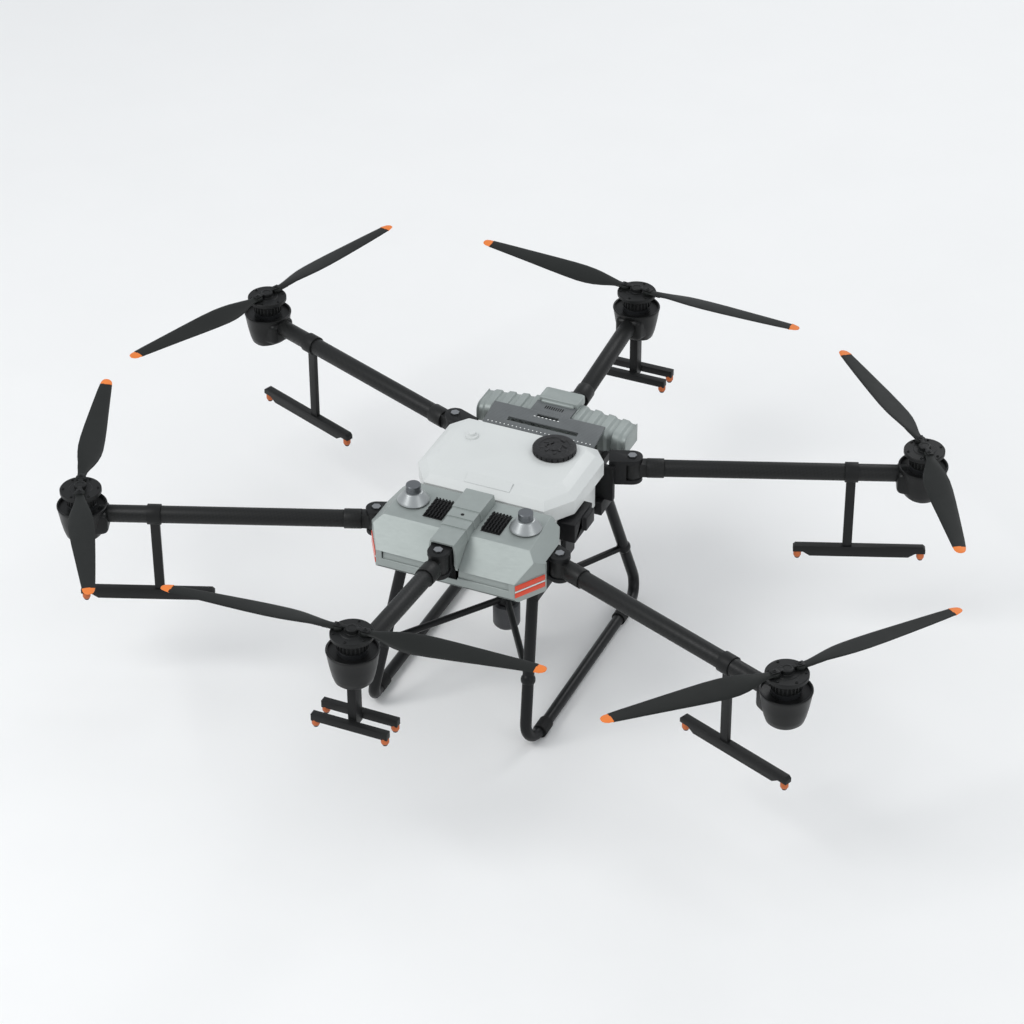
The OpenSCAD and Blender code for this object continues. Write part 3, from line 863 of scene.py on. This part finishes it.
def battery_wing(first, last):
    """A wing with broad fore and aft flutes, extruded across its width."""
    nothing_selected()
    bpy.ops.mesh.primitive_plane_add(size=1, rotation=(0, math.pi / 2, 0))
    wing = bpy.context.object
    settle(wing)
    open_edit(wing)
    bpy.ops.mesh.select_all(action="SELECT")
    deep, depth = 84.0, -90.0
    tall = crown(first) - 9 - depth
    bpy.ops.transform.resize(value=(1, deep * MM, tall * MM), center_override=(0, 0, 0))
    bpy.ops.transform.translate(value=(first * MM, 0.324, (depth + tall / 2) * MM))
    bpy.ops.mesh.select_mode(type="VERT")
    mesh = bmesh.from_edit_mesh(wing.data)
    for v in mesh.verts:
        v.select_set(v.co.y < 0.3 and v.co.z > -0.06)
    bpy.ops.mesh.bevel(offset=0.022, affect="VERTICES", segments=5)
    bpy.ops.mesh.select_mode(type="FACE")
    bpy.ops.mesh.select_all(action="SELECT")
    anchor = Vector((0, 0.366, depth * MM))
    x, span = first, last - first
    count = 4
    pitch = abs(span) / count
    sign = 1 if span > 0 else -1
    here = tall
    sunk = 1.0
    for k in range(count):
        for part, back_off in FLUTE:
            next_x = first + sign * pitch * (k + part)
            target = (crown(next_x) - depth) * (1.0 if back_off == 1.0 else 0.9)
            bpy.ops.mesh.extrude_region_move(TRANSFORM_OT_translate={"value": ((next_x - x) * MM, 0, 0)})
            bpy.ops.transform.resize(value=(1, back_off / sunk, target / here), center_override=anchor)
            x, here, sunk = next_x, target, back_off
    bpy.ops.mesh.extrude_region_move(TRANSFORM_OT_translate={"value": ((last - x) * MM, 0, 0)})
    bpy.ops.transform.resize(value=(1, 0.97, 0.9), center_override=anchor)
    close_edit()
    soften(wing, 2.0, 2, 24)
    return wing


parts = [battery_wing(56, 212), battery_wing(-56, -212)]
middle = block((-58, 296, -90), (58, 366, -21))
soften(middle, 4, 3)
lower = block((-119.6, 286.4, -249), (119.6, 361.6, -88))
soften(lower, 6, 3)
handle = block((-55, 336, -30), (55, 388, -2.2))
open_edit(handle)
pick(handle, lambda c, n: n.z > 0.9)
bpy.ops.mesh.inset(thickness=0.009, depth=0)
bpy.ops.transform.translate(value=(0, 0, -0.003))
close_edit()
soften(handle, 4.5, 4, 20)
hump = block((-46, 328, -24), (46, 352, -9))
soften(hump, 4, 3)
battery = joined(parts + [middle, lower, handle, hump])
place(battery, (0, 0, PLANE))
smooth(battery)
finished(battery, "battery_shell", "battery", "silver_shell", "battery_pack")

from_frame("battery_tab", 1.2, 2)
ticks = []
for k in range(9):
    tick = block((-26 + 6 * k, 303, -15.2), (-23 + 6 * k, 317, -14.2))
    soften(tick, 0.4, 1)
    ticks.append(tick)
ticks = place(joined(ticks), (0, 0, PLANE))
finished(ticks, "battery_contacts", "battery", "vent_black")

# dotted line along the plate's front edge
dots = []
for k in range(26):
    dots.append(turned([(1.9, -0.4), (1.9, 0.5), (1.3, 0.9)], ((-144 + 11.5 * k) * MM, 0.2095, 0), 8))
for k in range(7):
    tick = block((-36 + 11 * k, 258, 11.0), (-31 + 11 * k, 260.6, 11.9))
    dots.append(tick)
dots = joined(dots)
smooth(dots)
place(dots, (0, 0, PLANE - 0.0263))
finished(dots, "plate_dots", "airframe", "signal_white")

# ------------------------------------------------------------------ landing gear

for side in (-1, 1):
    name = "left" if side > 0 else "right"
    corners = [
        (side * 0.1736, 0.2190, PLANE - 0.142), (side * 0.2160, 0.3740, SKID_Z),
        (side * SKID_X, 0.29, SKID_Z), (side * SKID_X, 0.0, SKID_Z),
    ]
    half = rounded_path(corners, 0.042)[:-1]
    path = half + [Vector((p.x, -p.y, p.z)) for p in reversed(half)]
    skid = pipe(path, GEAR_R, 6)
    smooth(skid)
    finished(skid, name + "_skid_tube", "airframe", "gear_black", name + "_skid")
    for number, y in enumerate((-0.286, 0.236), 1):
        sleeve = turned([
            (15.2, -22), (18.2, -22), (19, -21), (19, 21), (18.2, 22), (15.2, 22),
        ], sides=40)
        sleeve.data.transform(
            Matrix.Translation((side * SKID_X, y, SKID_Z)) @ Matrix.Rotation(math.pi / 2, 4, "X")
        )
        smooth(sleeve)
        stands_for = ["gear_sleeves"] if side > 0 and number == 1 else []
        finished(sleeve, f"{name}_sleeve_{number}", "airframe", "pad_rubber", *stands_for)

from_frame("cross_braces", 1.2, 2, 45)
radar = turned([
    (24, -500), (29, -499.4), (34.4, -493), (36, -489), (36, -436), (35, -430), (30, -427),
    (12, -426.4),
], (0, 0, PLANE), 64)
smooth(radar)
finished(radar, "radar_drum", "airframe", "radar_grey", "radar_sensor")

# ------------------------------------------------------------------ end

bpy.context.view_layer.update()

paper = Finish("studio_floor", Roughness=0.9)
paper.feed("Base Color", paper.blend(paper.noise(3.0), (0.90, 0.90, 0.89), (0.93, 0.93, 0.92)))
floor.data.materials.append(paper.material)
